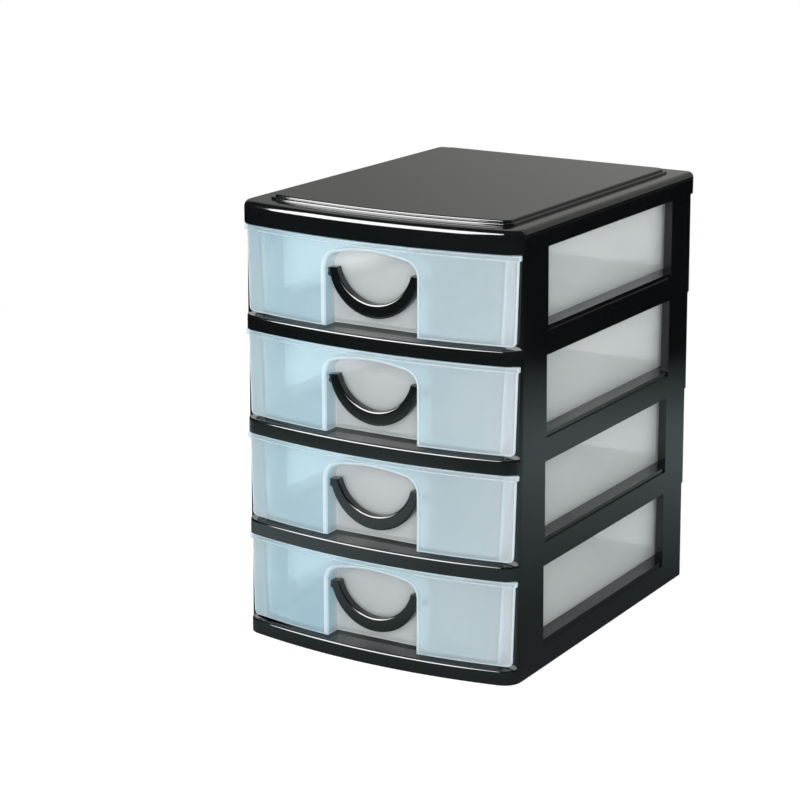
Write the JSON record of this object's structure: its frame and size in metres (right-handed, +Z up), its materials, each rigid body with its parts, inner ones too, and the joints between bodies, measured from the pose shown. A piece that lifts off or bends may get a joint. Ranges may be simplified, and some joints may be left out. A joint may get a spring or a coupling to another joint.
{
  "type": "desktop mini drawers",
  "caption": "Desktop mini drawers: stacked black tiers with a bowed front and frosted slide-out drawers, each with a swinging bail handle in an arched pocket.",
  "frame": {"origin": "middle of the width and depth, at the underside of the lowest skirt", "axes": "+X to the right of someone who faces the drawers, +Y towards the back, +Z up; the drawers open towards -Y"},
  "size_m": [0.182, 0.2374, 0.2616],
  "materials": {
    "black_plastic": "glossy",
    "frosted_plastic": "frosted translucent"
  },
  "bodies": {
    "stack": {"top_cover": "black_plastic", "tier_frame_1": "black_plastic", "tier_frame_2": "black_plastic", "tier_frame_3": "black_plastic", "tier_frame_4": "black_plastic"},
    "drawer_1": {"drawer_1": "frosted_plastic"},
    "handle_1": {"handle_1": "black_plastic"},
    "drawer_2": {"drawer_2": "frosted_plastic"},
    "handle_2": {"handle_2": "black_plastic"},
    "drawer_3": {"drawer_3": "frosted_plastic"},
    "handle_3": {"handle_3": "black_plastic"},
    "drawer_4": {"drawer_4": "frosted_plastic"},
    "handle_4": {"handle_4": "black_plastic"}
  },
  "joints": [
    {"name": "drawer_1_slide", "type": "slide", "parent": "stack", "child": "drawer_1", "axis": [0, -1, 0], "range_m": [0, 0.17]},
    {"name": "handle_1_pivot", "type": "hinge", "parent": "drawer_1", "child": "handle_1", "pos_m": [0, -0.1072, 0.2243], "axis": [-1, 0, 0], "range_deg": [-5, 130]},
    {"name": "drawer_2_slide", "type": "slide", "parent": "stack", "child": "drawer_2", "axis": [0, -1, 0], "range_m": [0, 0.17]},
    {"name": "handle_2_pivot", "type": "hinge", "parent": "drawer_2", "child": "handle_2", "pos_m": [0, -0.1072, 0.1628], "axis": [-1, 0, 0], "range_deg": [-5, 130]},
    {"name": "drawer_3_slide", "type": "slide", "parent": "stack", "child": "drawer_3", "axis": [0, -1, 0], "range_m": [0, 0.17]},
    {"name": "handle_3_pivot", "type": "hinge", "parent": "drawer_3", "child": "handle_3", "pos_m": [0, -0.1072, 0.1013], "axis": [-1, 0, 0], "range_deg": [-5, 130]},
    {"name": "drawer_4_slide", "type": "slide", "parent": "stack", "child": "drawer_4", "axis": [0, -1, 0], "range_m": [0, 0.17]},
    {"name": "handle_4_pivot", "type": "hinge", "parent": "drawer_4", "child": "handle_4", "pos_m": [0, -0.1072, 0.0398], "axis": [-1, 0, 0], "range_deg": [-5, 130]}
  ]
}
